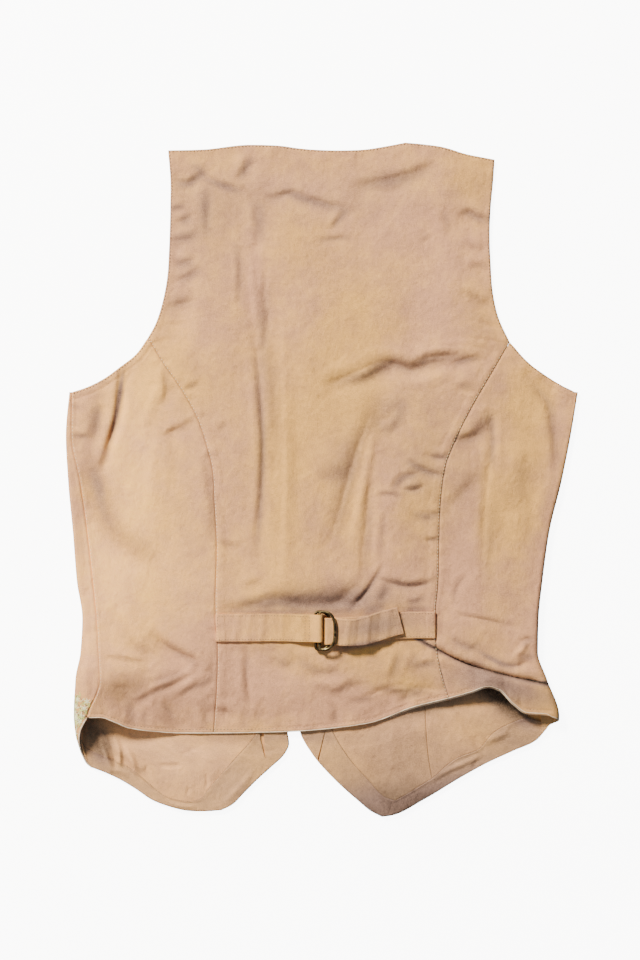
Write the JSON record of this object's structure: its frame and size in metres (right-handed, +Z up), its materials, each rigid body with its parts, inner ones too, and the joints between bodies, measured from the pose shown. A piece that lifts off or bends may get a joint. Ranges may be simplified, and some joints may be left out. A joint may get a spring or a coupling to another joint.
{
  "type": "embroidered waistcoat laid face down",
  "caption": "Fitted cloth waistcoat lying face down with its back up: side panels, pointed fronts below the hem, back strap drawn through paired D-rings, embroidered hem edge.",
  "frame": {"origin": "middle of the laid garment's outline, on the surface it rests on", "axes": "+X to the wearer's right, +Y from hem to neck, +Z up from the surface, out of the back of the garment"},
  "size_m": [0.4621, 0.608, 0.0205],
  "materials": {
    "twill": "matt brushed cotton twill, tan",
    "facing": "matt cotton twill, tan, the same cloth as the outside",
    "lining": "matt cotton lining, pinkish tan",
    "ring": "antiqued brass, worn bright on the upper side"
  },
  "bodies": {
    "root": {"back_centre": "twill", "back_side_left": "twill", "back_side_right": "twill", "front_left": "twill", "front_right": "twill", "hem_facing_left": "facing", "hem_facing_right": "facing", "front_facing_left": "facing", "front_facing_right": "facing", "lining_left": "lining", "lining_right_front": "lining", "lining_right_side": "lining", "strap_left": "twill", "strap_right": "twill", "ring_lower": "ring", "ring_upper": "ring"}
  },
  "joints": []
}
